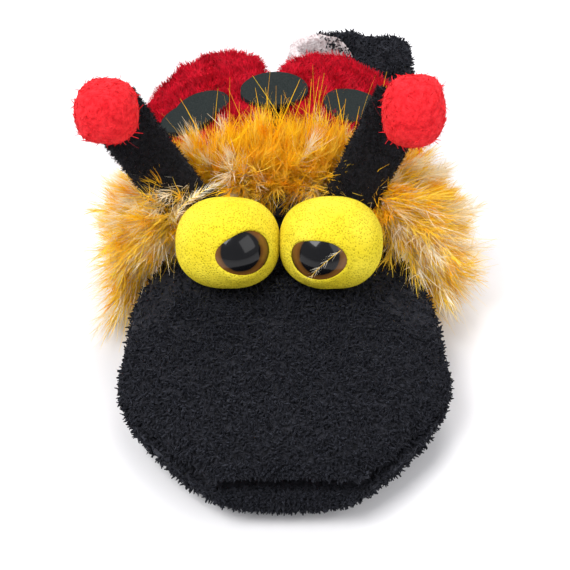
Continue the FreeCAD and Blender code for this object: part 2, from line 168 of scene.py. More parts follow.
def strands(roots, heading, length, wide, segments, rng, bend, sides=2, tip=0.35, curl=0.0,
            shape=None):
    """Fibres as slim ribbons or three-sided spikes that bend as they grow."""
    count = len(roots)
    t = np.linspace(0, 1, segments + 1)[None, :, None]
    length = np.broadcast_to(length, count)[:, None, None]
    sag = bend[:, None, :]
    across = unit(np.cross(heading, rng.normal(size=(count, 3))))
    other = unit(np.cross(heading, across))
    phase = rng.uniform(0, 6.28, size=(count, 1, 1))
    wave = curl * (np.sin(t * 5 + phase) - np.sin(phase))
    path = (roots[:, None, :] + heading[:, None, :] * length * t
            + sag * length * t**2 + across[:, None, :] * length * wave)
    profile = 1 - (1 - tip) * t**1.4 if shape is None else np.array(shape)[None, :, None]
    width = np.broadcast_to(wide, count)[:, None, None] * profile / 2
    ring = []
    for side in range(sides):
        angle = 2 * math.pi * side / sides
        ring.append(path + width * (across[:, None, :] * math.cos(angle)
                                    + other[:, None, :] * math.sin(angle)))
    verts = np.stack(ring, axis=2).reshape(-1, 3)
    per = (segments + 1) * sides
    base = (np.arange(count) * per)[:, None, None]
    level = (np.arange(segments) * sides)[None, :, None]
    turns = 1 if sides == 2 else sides
    near = np.arange(turns)[None, None, :]
    far = (near + 1) % sides
    faces = np.stack([base + level + near, base + level + far,
                      base + level + sides + far, base + level + sides + near], axis=-1)
    return verts, faces.reshape(-1, 4)


# ---------------------------------------------------------------- materials

def material(name, dark, light, grain, rough, sheen=0.0, sheen_tint=(1, 1, 1), bump=0.0,
             bump_grain=None, coat=0.0, gloss=0.2):
    """A surface whose colour and relief both come from fine noise."""
    mat = bpy.data.materials.new(name)
    mat.use_nodes = True
    tree = mat.node_tree
    shader = tree.nodes["Principled BSDF"]
    shader.inputs["Roughness"].default_value = rough
    shader.inputs["Specular IOR Level"].default_value = gloss
    shader.inputs["Sheen Weight"].default_value = sheen
    shader.inputs["Sheen Roughness"].default_value = 0.5
    shader.inputs["Sheen Tint"].default_value = (*sheen_tint, 1)
    shader.inputs["Coat Weight"].default_value = coat
    shader.inputs["Coat Roughness"].default_value = 0.04
    place = tree.nodes.new("ShaderNodeTexCoord")
    noise = tree.nodes.new("ShaderNodeTexNoise")
    noise.inputs["Scale"].default_value = grain
    noise.inputs["Detail"].default_value = 3.0
    ramp = tree.nodes.new("ShaderNodeValToRGB")
    ramp.color_ramp.elements[0].position = 0.35
    ramp.color_ramp.elements[0].color = (*dark, 1)
    ramp.color_ramp.elements[1].position = 0.65
    ramp.color_ramp.elements[1].color = (*light, 1)
    tree.links.new(place.outputs["Object"], noise.inputs["Vector"])
    tree.links.new(noise.outputs["Fac"], ramp.inputs["Fac"])
    tree.links.new(ramp.outputs["Color"], shader.inputs["Base Color"])
    if bump:
        relief = tree.nodes.new("ShaderNodeTexNoise")
        relief.inputs["Scale"].default_value = bump_grain or grain * 2
        relief.inputs["Detail"].default_value = 4
        push = tree.nodes.new("ShaderNodeBump")
        push.inputs["Strength"].default_value = bump
        push.inputs["Distance"].default_value = 0.0006
        tree.links.new(place.outputs["Object"], relief.inputs["Vector"])
        tree.links.new(relief.outputs["Fac"], push.inputs["Height"])
        tree.links.new(push.outputs["Normal"], shader.inputs["Normal"])
    return mat


CHENILLE = material("chenille", (0.002, 0.002, 0.003), (0.017, 0.0175, 0.023), 700, 0.8,
                    0.1, (0.5, 0.55, 0.75), 0.8, 1500)
LINING = material("lining", (0.62, 0.50, 0.50), (0.88, 0.82, 0.82), 500, 0.95, 0.3,
                  bump=0.7, bump_grain=1400)
PLUSH = material("plush", (0.40, 0.0, 0.010), (0.74, 0.003, 0.026), 260, 0.85, 0.15,
                 (1, 0.2, 0.25), 0.6, 1300)
POMPOM = material("pompom", (0.66, 0.008, 0.016), (0.88, 0.025, 0.035), 500, 0.9, 0.1,
                  (1, 0.4, 0.4), 0.6, 1500)
VELVET = material("velvet", (0.002, 0.002, 0.003), (0.012, 0.012, 0.016), 700, 0.9, 0.12,
                  (0.5, 0.5, 0.6), 0.6, 1800)
DOWN_GOLD = material("down_gold", (1.0, 0.46, 0.0), (1.0, 0.66, 0.010), 130, 0.8, 0.1,
                     (1, 0.8, 0.3))
DOWN_LEMON = material("down_lemon", (0.98, 0.58, 0.02), (1.0, 0.76, 0.10), 130, 0.8, 0.1,
                      (1, 0.9, 0.5))
DOWN_WHITE = material("down_white", (0.96, 0.78, 0.46), (0.98, 0.92, 0.78), 110, 0.8, 0.1)
SPOT_FOAM = material("spot_foam", (0.013, 0.017, 0.017), (0.026, 0.032, 0.031), 1600, 0.95,
                     bump=0.35, bump_grain=2600, gloss=0.08)
FELT = material("felt", (0.30, 0.008, 0.02), (0.55, 0.02, 0.04), 700, 0.95, 0.4,
                (1, 0.4, 0.4), 0.7, 1500)
CARD = material("card", (0.30, 0.22, 0.14), (0.46, 0.36, 0.25), 400, 0.9, bump=0.3,
                bump_grain=900)
STEM = material("stem", (0.008, 0.008, 0.009), (0.016, 0.016, 0.018), 300, 0.25, coat=0.5)
CORD = material("boa_cord", (0.55, 0.30, 0.02), (0.80, 0.50, 0.05), 900, 0.85, 0.3,
                bump=0.6, bump_grain=1500)


def foam_material():
    """Yellow open-cell foam, pricked all over with tiny dark pores."""
    mat = material("eye_foam", (0.74, 0.59, 0.022), (0.86, 0.71, 0.048), 60, 0.95, gloss=0.1)
    tree = mat.node_tree
    shader = tree.nodes["Principled BSDF"]
    ramp = next(n for n in tree.nodes if n.type == "VALTORGB")
    place = next(n for n in tree.nodes if n.type == "TEX_COORD")
    cells = tree.nodes.new("ShaderNodeTexVoronoi")
    cells.inputs["Scale"].default_value = 1150
    cells.inputs["Randomness"].default_value = 1
    pores = tree.nodes.new("ShaderNodeValToRGB")
    pores.color_ramp.elements[0].position = 0.12
    pores.color_ramp.elements[0].color = (0.36, 0.30, 0.03, 1)
    pores.color_ramp.elements[1].position = 0.42
    pores.color_ramp.elements[1].color = (1, 1, 1, 1)
    mix = tree.nodes.new("ShaderNodeMix")
    mix.data_type = "RGBA"
    mix.blend_type = "MULTIPLY"
    mix.inputs["Factor"].default_value = 0.8
    push = tree.nodes.new("ShaderNodeBump")
    push.inputs["Strength"].default_value = 0.8
    push.inputs["Distance"].default_value = 0.0005
    tree.links.new(place.outputs["Object"], cells.inputs["Vector"])
    tree.links.new(cells.outputs["Distance"], pores.inputs["Fac"])
    tree.links.new(ramp.outputs["Color"], mix.inputs["A"])
    tree.links.new(pores.outputs["Color"], mix.inputs["B"])
    tree.links.new(mix.outputs["Result"], shader.inputs["Base Color"])
    tree.links.new(cells.outputs["Distance"], push.inputs["Height"])
    tree.links.new(push.outputs["Normal"], shader.inputs["Normal"])
    return mat


FOAM = foam_material()


def eye_material(name, centre, gaze):
    """Domed toy eye: black pupil, streaky brown iris and a dark rim under clear gloss."""
    mat = bpy.data.materials.new(name)
    mat.use_nodes = True
    tree = mat.node_tree
    shader = tree.nodes["Principled BSDF"]
    shader.inputs["Roughness"].default_value = 0.2
    shader.inputs["Specular IOR Level"].default_value = 0.12
    shader.inputs["Coat Weight"].default_value = 0.4
    shader.inputs["Coat Roughness"].default_value = 0.02
    place = tree.nodes.new("ShaderNodeTexCoord")
    shift = tree.nodes.new("ShaderNodeVectorMath")
    shift.operation = "SUBTRACT"
    shift.inputs[1].default_value = tuple(centre * MM)
    cross = tree.nodes.new("ShaderNodeVectorMath")
    cross.operation = "CROSS_PRODUCT"
    cross.inputs[1].default_value = tuple(gaze)
    length = tree.nodes.new("ShaderNodeVectorMath")
    length.operation = "LENGTH"
    scale = tree.nodes.new("ShaderNodeMath")
    scale.operation = "MULTIPLY"
    scale.inputs[1].default_value = 1 / (IRIS * MM)
    streak = tree.nodes.new("ShaderNodeTexNoise")
    streak.inputs["Scale"].default_value = 260
    streak.inputs["Detail"].default_value = 4
    sway = tree.nodes.new("ShaderNodeMath")
    sway.operation = "MULTIPLY_ADD"
    sway.inputs[1].default_value = 0.06
    ramp = tree.nodes.new("ShaderNodeValToRGB")
    stops = ramp.color_ramp.elements
    stops[0].position = 0.0
    stops[0].color = (0.003, 0.003, 0.004, 1)
    stops[1].position = 1.0
    stops[1].color = (0.02, 0.008, 0.003, 1)
    for where, colour in ((0.66, (0.004, 0.004, 0.005)), (0.70, (0.10, 0.042, 0.009)),
                          (0.82, (0.18, 0.074, 0.016)), (0.95, (0.12, 0.048, 0.012))):
        stop = stops.new(where)
        stop.color = (*colour, 1)
    tree.links.new(place.outputs["Object"], shift.inputs[0])
    tree.links.new(shift.outputs["Vector"], cross.inputs[0])
    tree.links.new(cross.outputs["Vector"], length.inputs[0])
    tree.links.new(length.outputs["Value"], scale.inputs[0])
    tree.links.new(place.outputs["Object"], streak.inputs["Vector"])
    tree.links.new(streak.outputs["Fac"], sway.inputs[0])
    tree.links.new(scale.outputs["Value"], sway.inputs[2])
    tree.links.new(sway.outputs["Value"], ramp.inputs["Fac"])
    tree.links.new(ramp.outputs["Color"], shader.inputs["Base Color"])
    return mat


# ---------------------------------------------------------------- the knitted sock

# Along the sock: half its width, its underside, its top, and how far it drifts sideways.
HALF = [(-166, 23), (-163, 29.5), (-158, 36), (-150, 44.5), (-138, 55), (-127, 61.8),
        (-118, 64.6), (-102, 64), (-86, 63.5), (-72, 62), (-58, 58), (-44, 52.5), (-28, 48),
        (-10, 46.5), (10, 46.5), (40, 46.5), (70, 45.5), (95, 43), (118, 40), (140, 37)]
LOW = [(-166, 7), (-163, 4.5), (-158, 2.4), (-150, 1.2), (-138, 1), (-110, 1), (60, 1), (140, 1)]
HIGH = [(-166, 24), (-163, 27.5), (-158, 30), (-150, 32), (-138, 33.6), (-125, 35), (-110, 36.2),
        (-95, 37.6), (-72, 38.5), (-44, 38.5), (-10, 37.8), (10, 37), (40, 36.8), (70, 36),
        (95, 33.5), (118, 31), (140, 31)]
DRIFT = [(-166, 0), (10, 0), (40, 0.5), (70, 4), (95, 12), (118, 25), (140, 39)]


def sock_skin(ys, angles, pinch=0.0, seed=1):
    """Rows of points round the sock: slot-shaped sections that swell and dent a little."""
    y, angle = np.meshgrid(ys, angles, indexing="ij")
    half = curve_at(HALF, y) - pinch
    low = curve_at(LOW, y) + pinch * 0.6
    high = curve_at(HIGH, y) - pinch * 0.6
    level = (low + high) / 2
    x = curve_at(DRIFT, y) + half * power(np.cos(angle), 0.62)
    z = level + (high - low) / 2 * power(np.sin(angle), 0.86)
    points = np.stack([x, y, z], axis=-1).reshape(-1, 3)
    swell = ripple(points, 46, seed, 1.3) + ripple(points, 17, seed + 7, 0.5)
    points[:, 2] += swell * smooth(points[:, 2], 12, 26)
    points[:, 0] += swell * 0.6 * np.sign(points[:, 0]) * smooth(np.abs(points[:, 0]), 30, 50)
    return points


def chenille(points, quads, count, seed, weight=None, long=2.9, wide=1.05):
    """Fat curly pips of chenille yarn growing every way from the skin."""
    rng = np.random.default_rng(seed)
    roots, normal = scatter(points, quads, count, rng, weight)
    lean = rng.normal(size=roots.shape)
    lean = unit(lean - normal * np.sum(lean * normal, axis=1, keepdims=True))
    rise = rng.uniform(0.15, 0.8, size=(count, 1))
    heading = unit(normal * rise + lean * (1.1 - rise))
    bend = unit(np.cross(heading, rng.normal(size=roots.shape))) * 0.45 - normal * 0.15
    size = long * rng.uniform(0.6, 1.25, size=count)
    verts, faces = strands(roots - normal * 0.5, heading, size,
                           wide * rng.uniform(0.7, 1.2, size=count), 2, rng, bend,
                           sides=3, shape=(0.7, 1.1, 0.5))
    verts[:, 2] = np.maximum(verts[:, 2], 0.15)
    return verts, faces


def round_angles(count):
    return np.linspace(0, 2 * math.pi, count, endpoint=False)


def make_upper_jaw():
    """Top of the snout, rolled under at the lip, and reaching back to the fold before the eyes."""
    ys = np.concatenate([np.linspace(-162.5, -150, 12), np.linspace(-148, -94, 28)])
    angles = np.linspace(0.02, math.pi - 0.02, 64)
    top = sock_skin(ys, angles, pinch=(1.0 + 2.4 * smooth(-ys, 116, 146))[:, None], seed=3)
    lip = 19.4 + 2.4 * smooth(-top[:, 1], 146, 162)
    top[:, 2] = np.maximum(top[:, 2], lip)
    quads = grid_faces(len(ys), len(angles), False)[:, ::-1]
    rows = top.reshape(len(ys), len(angles), 3)
    front = rows[0].copy()
    nose = []
    for step in np.linspace(0, 1, 5):
        row = front.copy()
        row[:, 1] = front[:, 1] - 1.6 * math.sin(step * math.pi) + 1.5 * step**3
        row[:, 2] = front[:, 2] * (1 - step) + 21.6 * step
        nose.append(row)
    nose = np.concatenate(nose)
    nose_quads = grid_faces(5, len(angles), False)
    flat = rows[:30].copy()
    flat[:, :, 2] = 19.2 + 2.4 * smooth(-flat[:, :, 1], 146, 162)
    flat[:, :, 0] *= 0.985
    flat = flat.reshape(-1, 3)
    flat_quads = grid_faces(30, len(angles), False)

    def weight(middle, normal):
        return np.where(middle[:, 1] > -96, 0.3, 1.0)

    tufts, tuft_faces = chenille(top, quads, 12000, 11, weight)
    lip, lip_faces = chenille(nose, nose_quads, 1500, 12)
    obj = build("sock_upper_jaw_skin",
                [(top, quads, 0), (nose, nose_quads, 0), (flat, flat_quads, 0),
                 (tufts, tuft_faces, 0), (lip, lip_faces, 0)], [CHENILLE])
    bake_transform(obj)
    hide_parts("sock_upper_jaw")


def make_head():
    """Lower jaw, cheeks and neck, running back to meet the leg under the collar."""
    lower_ys = np.concatenate([np.linspace(-165.5, -150, 10), np.linspace(-148, -100, 20)])
    lower_angles = np.linspace(math.pi - 0.02, 2 * math.pi + 0.02, 56)
    lower = sock_skin(lower_ys, lower_angles, seed=5)
    lower[:, 2] = np.minimum(lower[:, 2], 17.6 - 3.2 * smooth(-lower[:, 1], 146, 162))
    lower_quads = grid_faces(len(lower_ys), len(lower_angles), False)[:, ::-1]
    rows = lower.reshape(len(lower_ys), len(lower_angles), 3)
    nose = []
    for step in np.linspace(0, 1, 5):
        row = rows[0].copy()
        row[:, 1] = row[:, 1] - 1.4 * math.sin(step * math.pi)
        row[:, 2] = row[:, 2] * (1 - step) + 14.4 * step
        nose.append(row)
    nose = np.concatenate(nose)
    nose_quads = grid_faces(5, len(lower_angles), False)
    shelf = rows[:26].copy()
    shelf[:, :, 2] = 17.7 - 3.2 * smooth(-shelf[:, :, 1], 146, 162)
    shelf = shelf.reshape(-1, 3)
    shelf_quads = grid_faces(26, len(lower_angles), False)[:, ::-1]

    neck_ys = np.linspace(-101, 4, 54)
    around = round_angles(84)
    neck = sock_skin(neck_ys, around, seed=3)
    ridge = np.exp(-(((neck[:, 0] + 2.3) / 7) ** 2) - ((neck[:, 1] + 82) / 9) ** 2)
    neck[:, 2] += 7 * ridge * (neck[:, 2] > 25)
    neck_quads = grid_faces(len(neck_ys), len(around), True)[:, ::-1]

    def brow(middle, normal):
        near = (middle[:, 2] > 30) & (np.abs(middle[:, 0] + 2) < 42)
        return np.where(near & (np.abs(middle[:, 1] + 90) < 7), 1.0, 0.0)

    fringe, fringe_faces = chenille(neck, neck_quads, 1000, 25, brow, long=4.2)

    def weight(middle, normal):
        under = np.where(normal[:, 2] < -0.6, 0.3, 1.0)
        return under * np.where(middle[:, 1] > -48, 0.35, 1.0)

    tufts, tuft_faces = chenille(neck, neck_quads, 6300, 21, weight)
    low_tufts, low_faces = chenille(lower, lower_quads, 3300, 22, weight)

    def rim(middle, normal):
        inside = curve_at(HALF, middle[:, 1]) - np.abs(middle[:, 0])
        return np.where((inside < 4) | (middle[:, 1] < -161.5), 1.0, 0.0)

    brim, brim_faces = chenille(shelf, shelf_quads, 1200, 24, rim, long=2.0)
    lip, lip_faces = chenille(nose, nose_quads, 1500, 23)
    obj = build("sock_head_skin",
                [(lower, lower_quads, 0), (nose, nose_quads, 0), (shelf, shelf_quads, 0),
                 (neck, neck_quads, 0), (tufts, tuft_faces, 0), (low_tufts, low_faces, 0),
                 (lip, lip_faces, 0), (brim, brim_faces, 0), (fringe, fringe_faces, 0)],
                [CHENILLE])
    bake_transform(obj)
    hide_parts("sock_head")


make_upper_jaw()
make_head()


# ---------------------------------------------------------------- leg and cuff

CUFF_X, CUFF_Y = 39.5, 142.5
CUFF_LONG, CUFF_SHORT = 36.0, 22.5


def make_leg():
    """Leg under the wings, ending in a cuff that is thin on one side and bunched on the other."""
    ys = np.linspace(-2, 128, 56)
    tube = sock_skin(ys, round_angles(72), seed=3)
    tube_quads = grid_faces(len(ys), 72, True)[:, ::-1]
    around = round_angles(120)
    rows = []
    bunch = smooth(np.cos(around), -0.3, 0.15)
    roll = 1.7 + 8.0 * bunch
    rise = 35.5 + 1.5 * bunch - roll

    def ring(step, height):
        x = CUFF_X + np.maximum(CUFF_LONG + step, 3) * np.cos(around)
        y = CUFF_Y + np.maximum(CUFF_SHORT + step, 2) * np.sin(around)
        return np.stack([x, y, np.broadcast_to(height, x.shape)], axis=-1)

    for share in np.linspace(0, 1, 12):
        rows.append(ring(1.2 * math.sin(share * 3) * bunch, 0.9 + (rise - 0.9) * share))
    for turn in np.linspace(0.2, math.pi, 12):
        rows.append(ring(-roll + roll * math.cos(turn), rise + roll * math.sin(turn)))
    for share in np.linspace(0.1, 1, 8):
        rows.append(ring(-2 * roll, rise * (1 - share) + 8 * share))
    cuff = np.concatenate(rows)
    lump = ripple(cuff, 21, 31, 4.2) + ripple(cuff, 9, 33, 1.4)
    loose = np.tile(bunch, len(rows)) * smooth(cuff[:, 2], 6, 24)
    cuff[:, 2] += lump * loose
    cuff[:, 0] += ripple(cuff, 24, 35, 3.4) * loose
    cuff[:, 1] += ripple(cuff, 24, 36, 2.2) * loose
    cuff_quads = grid_faces(len(rows), len(around), True)

    def weight(middle, normal):
        hidden = (normal[:, 2] < -0.6) | ((middle[:, 1] < 95) & (np.abs(middle[:, 0]) > 20))
        return np.where(hidden, 0.25, 1.0)

    tufts, tuft_faces = chenille(tube, tube_quads, 3900, 41, weight)

    def outside(middle, normal):
        return np.where((middle[:, 0] < 19) & (middle[:, 2] > 28), 0.0, 1.0)

    ends, end_faces = chenille(cuff, cuff_quads[: 120 * 26], 5400, 42, outside, long=3.3)
    obj = build("sock_leg_skin", [(tube, tube_quads, 0), (cuff, cuff_quads, 0),
                                  (tufts, tuft_faces, 0), (ends, end_faces, 0)], [CHENILLE])
    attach(obj, "sock_body")
    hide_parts("sock_leg")

    flap = smooth(-np.cos(around), 0.3, 0.55)
    inside = -2 * roll - 0.9
    lining = []
    for share in np.linspace(0, 1, 12):
        turn = max(share - 0.3, 0) / 0.7 * math.pi
        over = -roll + (roll + 1.0) * math.cos(turn)
        above = (roll + 1.0) * math.sin(turn) - 28 * max(0.3 - share, 0) - 0.6
        lining.append(ring(inside + (over - inside) * flap, rise + 0.6 + above * flap))
    for share in np.linspace(0.08, 1, 14):
        lining.append(ring(inside - 0.6 * share, rise + 0.6 - (rise - 4) * share))
    centre = ring(0, 4.0)
    for share in (0.6, 0.3, 0.02):
        lining.append(centre.mean(axis=0) + (lining[25] - centre.mean(axis=0)) * [share, share, 1])
    inner = np.concatenate(lining)
    inner += unit(inner - [CUFF_X, CUFF_Y, 20]) * ripple(inner, 13, 51, 0.7)[:, None]
    inner_quads = grid_faces(len(lining), len(around), True)
    rng = np.random.default_rng(52)
    roots, normal = scatter(inner, inner_quads, 5200, rng)
    nap = strands(roots, unit(normal + rng.normal(size=roots.shape) * 0.7), 1.6, 0.32, 1, rng,
                  rng.normal(size=roots.shape) * 0.2, tip=0.3)
    obj = build("cuff_lining_skin", [(inner, inner_quads, 0), (*nap, 0)], [LINING])
    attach(obj, "sock_body")
    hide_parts("cuff_lining")


make_leg()


# ---------------------------------------------------------------- eyes

DOME = 14.15  # radius of the bead's curved face
DOME_BACK = 8.29  # from the middle of the ball to the middle of that curve
IRIS = 12
BALL_WIDE, BALL_DEEP, BALL_HIGH = 20.8, 19.0, 18.3
BALL_POWER = 2.35
BALL_FOOT = 38.9
EYES_MEET = -2.3

GAZES = {"left": unit(np.array([0.394, -0.849, 0.351])),
         "right": unit(np.array([-0.334, -0.905, 0.264]))}


def eye_axes(side):
    """Middle of a foam ball, middle of the bead's curve, and sideways and upward axes."""
    centre, half = box_of(f"{side}_eye_ball")
    radius = half[0]
    ball = np.array([centre[0], centre[1] + half[1] - radius, centre[2] + half[2] - radius])
    gaze = GAZES[side]
    right = unit(np.array([1.0, 0, 0]) - gaze[0] * gaze)
    return ball, ball + gaze * DOME_BACK, gaze, right, np.cross(gaze, right)


def make_eye(side, opening, lid, pupil, seed):
    """Foam ball with a soft lid over a glossy domed bead.

    The opening is its reach to the left, right, below and above; the lid is a straight
    edge, given by the way that it faces and its distance; the pupil looks its own way.
    """
    ball, curve, gaze, right, up = eye_axes(side)
    psi = round_angles(112)
    cos, sin = np.cos(psi), np.sin(psi)
    wide = np.where(cos < 0, opening[0], opening[1])
    high = np.where(sin < 0, opening[2], opening[3])
    oval = 1 / np.sqrt((cos / wide) ** 2 + (sin / high) ** 2)
    facing = np.maximum(np.cos(psi - math.radians(lid[0])), 0.02)
    reach = (oval**-7 + (lid[1] / facing) ** -7) ** (-1 / 7)
    edge = np.arctan2(reach, DOME_BACK + np.sqrt(DOME**2 - reach**2))

    def bead_radius(angle):
        return DOME_BACK * np.cos(angle) + np.sqrt(DOME**2 - (DOME_BACK * np.sin(angle)) ** 2)

    def ring(angle):
        way = (np.cos(angle)[:, None] * gaze
               + np.sin(angle)[:, None] * (cos[:, None] * right + sin[:, None] * up))
        upright = np.hypot(way[:, 1] / BALL_DEEP, way[:, 2] / BALL_HIGH)
        across = np.abs(way[:, 0] / BALL_WIDE)
        return way, (across**BALL_POWER + upright**BALL_POWER) ** (-1 / BALL_POWER)

    rows = []
    heavy = 0.35 + 0.55 * smooth(sin, 0.1, 0.8)
    for extra, lift in ((0.02, -1.3), (0.0, 0.02), (0.008, 0.5), (0.025, 1.0)):
        angle = edge + extra
        way, _ = ring(angle)
        size = bead_radius(angle) + (lift * heavy if lift > 0 else lift)
        rows.append(ball + way * size[:, None])
    for share in np.linspace(0.03, 1, 44):
        angle = edge + (math.pi - edge) * share
        way, full = ring(angle)
        fade = smooth(angle, 0.68, 1.15)
        cover = bead_radius(np.minimum(angle, 0.72)) + 0.35 + 0.75 * heavy
        size = np.maximum(full, cover * (1 - fade) + full * fade)
        rows.append(ball + way * size[:, None])
    foam = np.concatenate(rows)
    foam += unit(foam - ball) * ripple(foam, 17, seed, 0.3)[:, None]
    if side == "left":
        foam[:, 0] = np.minimum(foam[:, 0], EYES_MEET - 0.05)
    else:
        foam[:, 0] = np.maximum(foam[:, 0], EYES_MEET + 0.05)
    foam[:, 2] = np.maximum(foam[:, 2], BALL_FOOT)
    quads = grid_faces(len(rows), len(psi), True)[:, ::-1]
    obj = build(f"{side}_foam_ball", [(foam, quads, 0)], [FOAM])
    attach(obj, "head")
    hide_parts(f"{side}_eye_ball")

    a, b = np.meshgrid(np.linspace(-1, 1, 44), np.linspace(-1, 1, 44), indexing="ij")
    face = (IRIS + 0.1) * np.stack([a * np.sqrt(1 - b**2 / 2), b * np.sqrt(1 - a**2 / 2)], -1)
    face = face.reshape(-1, 2)
    deep = np.sqrt(DOME**2 - np.sum(face**2, axis=1))
    dome = curve + face[:, :1] * right + face[:, 1:] * up + deep[:, None] * gaze
    obj = build(f"{side}_bead", [(dome, grid_faces(44, 44, False), 0)],
                [eye_material(f"{side}_bead_gloss", ball, unit(np.array(pupil)))])
    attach(obj, "head")
    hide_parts(f"{side}_iris", f"{side}_pupil")


make_eye("left", (11.3, 10.7, 8.0, 9.4), (118, 9.8), (0.300, -0.849, 0.436), 61)
make_eye("right", (10.5, 11.6, 7.9, 8.6), (99, 8.8), (-0.254, -0.891, 0.375), 62)


# ---------------------------------------------------------------- feelers

def node_skin(node):
    """The points of a CAD piece in millimetres, and its triangles written as quads."""
    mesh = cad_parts[node].data
    mesh.calc_loop_triangles()
    points = np.empty(len(mesh.vertices) * 3)
    mesh.vertices.foreach_get("co", points)
    corners = np.empty(len(mesh.loop_triangles) * 3, np.int32)
    mesh.loop_triangles.foreach_get("vertices", corners)
    return points.reshape(-1, 3) / MM, corners.reshape(-1, 3)[:, [0, 1, 2, 2]]


def dress(surface, *nodes):
    """Give CAD pieces a better surface."""
    for node in nodes:
        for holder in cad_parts[node].material_slots:
            holder.material = surface


def make_feeler(side, tall, seed):
    """Velvet strip with a short nap, and a cut-pile pompom at its tip."""
    rng = np.random.default_rng(seed)
    dress(VELVET, f"{side}_antenna")
    points, faces = node_skin(f"{side}_antenna")
    foot = points[:, 2].min() + 6

    def above(middle, normal):
        return np.where(middle[:, 2] > foot, 1.0, 0.0)

    roots, normal = scatter(points, faces, 9000, rng, above)
    heading = unit(normal + rng.normal(size=roots.shape) * 0.55)
    nap = strands(roots, heading, rng.uniform(0.7, 1.7, len(roots)), 0.42, 1, rng,
                  rng.normal(size=roots.shape) * 0.2, tip=0.3)
    obj = build(f"{side}_antenna_nap", [(*nap, 0)], [VELVET])
    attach(obj, f"{side}_feeler")

    centre, _ = box_of(f"{side}_pompom")
    theta, phi = np.meshgrid(np.linspace(0.001, math.pi - 0.001, 44), round_angles(72),
                             indexing="ij")
    way = np.stack([np.sin(theta) * np.cos(phi), np.sin(theta) * np.sin(phi), np.cos(theta)],
                   -1).reshape(-1, 3)
    shape = 1 / np.sum(np.abs(way) ** 2.3, axis=1) ** (1 / 2.3)
    ball = centre + way * (12.6 * shape + ripple(way * 14, 18, seed + 1, 0.7))[:, None] * tall
    quads = grid_faces(44, 72, True)
    roots, normal = scatter(ball, quads, 15000, rng)
    heading = unit(normal + rng.normal(size=roots.shape) * 0.5)
    pile = strands(roots, heading, rng.uniform(1.2, 2.5, len(roots)), 0.5, 1, rng,
                   rng.normal(size=roots.shape) * 0.35, tip=0.35)
    stray, normal = scatter(ball, quads, 160, rng)
    loose = strands(stray, unit(normal + rng.normal(size=stray.shape) * 0.6),
                    rng.uniform(3, 5, len(stray)), 0.16, 3, rng,
                    rng.normal(size=stray.shape) * 0.5, tip=0.2)
    obj = build(f"{side}_pompom_pile", [(ball, quads, 0), (*pile, 0), (*loose, 0)], [POMPOM])
    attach(obj, f"{side}_feeler")
    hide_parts(f"{side}_pompom")


make_feeler("left", np.array([1.0, 1.0, 0.98]), 71)
make_feeler("right", np.array([0.98, 1.0, 1.12]), 75)


# ---------------------------------------------------------------- wings and spots

WING_X, WING_BROAD = 34, 39.6
SPOTS = ("centre_spot", "left_front_spot", "left_rear_spot", "right_spot")


def make_wing(side, sign, long, yaw, seed):
    """Padded plush wing case, thick in the middle and furry at the edge."""
    rng = np.random.default_rng(seed)
    sweep = np.linspace(math.asin((14.7 - long) / long), math.radians(87.5), 60)
    angle = round_angles(56)
    y = (long - 14 + long * np.sin(sweep))[:, None]
    outer = (WING_X + WING_BROAD * np.cos(sweep))[:, None]
    inner = (WING_X - WING_BROAD * np.cos(sweep))[:, None]
    inner = (inner + 8.3 + np.sqrt((inner - 8.3) ** 2 + 12)) / 2
    x = (inner + outer) / 2 + np.maximum(outer - inner, 0.6) / 2 * power(np.cos(angle), 0.75)
    ends = np.clip(np.minimum(y - 0.5, 2 * long - 14 - y) / 7, 0, 1)
    turn = math.radians(yaw)
    x, y = (x * sign * math.cos(turn) - y * math.sin(turn),
            x * sign * math.sin(turn) + y * math.cos(turn))
    top = 50.2 - (185 - np.sqrt(185**2 - x**2))
    low = 41.2 - (300 - np.sqrt(300**2 - x**2))
    thick = (top - low) / 2 * np.sqrt(1 - (1 - ends) ** 2 + 0.004)
    z = (top + low) / 2 + thick * power(np.sin(angle), 0.62)
    skin = np.stack([x, y, z], -1).reshape(-1, 3)
    skin[:, 2] -= np.abs(ripple(skin, 26, seed + 1, 0.9))
    quads = grid_faces(60, 56, True)
    quads = quads[:, ::-1] if sign > 0 else quads
    cap = np.arange(56)[None]

    def weight(middle, normal):
        keep = np.where(normal[:, 2] < -0.4, 0.2, 1.0)
        for spot in SPOTS:
            centre, half = box_of(spot)
            away = np.hypot(middle[:, 0] - centre[0], middle[:, 1] - centre[1])
            over = (away < half[0] - 0.4) & (middle[:, 2] > 30)
            if (spot, side) == ("centre_spot", "right"):
                over &= middle[:, 1] - centre[1] > 0.8 * (middle[:, 0] - centre[0]) - 9
            keep = np.where(over, 0.0, keep)
        return keep

    roots, normal = scatter(skin, quads, 15000, rng, weight)
    drift = np.stack([ripple(roots, 16, seed + k, 1.3) for k in (2, 3, 4)], -1)
    heading = unit(normal * 0.9 + drift * 0.55 + [0, 0.22, 0]
                   + rng.normal(size=roots.shape) * 0.26)
    pile = strands(roots - normal * 0.2, heading, rng.uniform(2.2, 4.2, len(roots)), 0.62, 2, rng,
                   drift * 0.35 + rng.normal(size=roots.shape) * 0.16, tip=0.25)
    obj = build(f"{side}_wing_plush",
                [(skin, quads, 0), (skin[:56], cap, 0), (skin[:-57:-1], cap, 0), (*pile, 0)],
                [PLUSH])
    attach(obj, "wing_pair")
    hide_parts(f"{side}_wing")


make_wing("left", -1, 66, 2, 81)
make_wing("right", 1, 60, 7, 91)
dress(SPOT_FOAM, *SPOTS)
dress(CARD, "lower_mouth_board", "upper_mouth_board")
dress(FELT, "lower_palate", "upper_palate")
dress(STEM, "left_eye_stem", "right_eye_stem")
dress(CORD, "boa_string")


# ---------------------------------------------------------------- feather boa

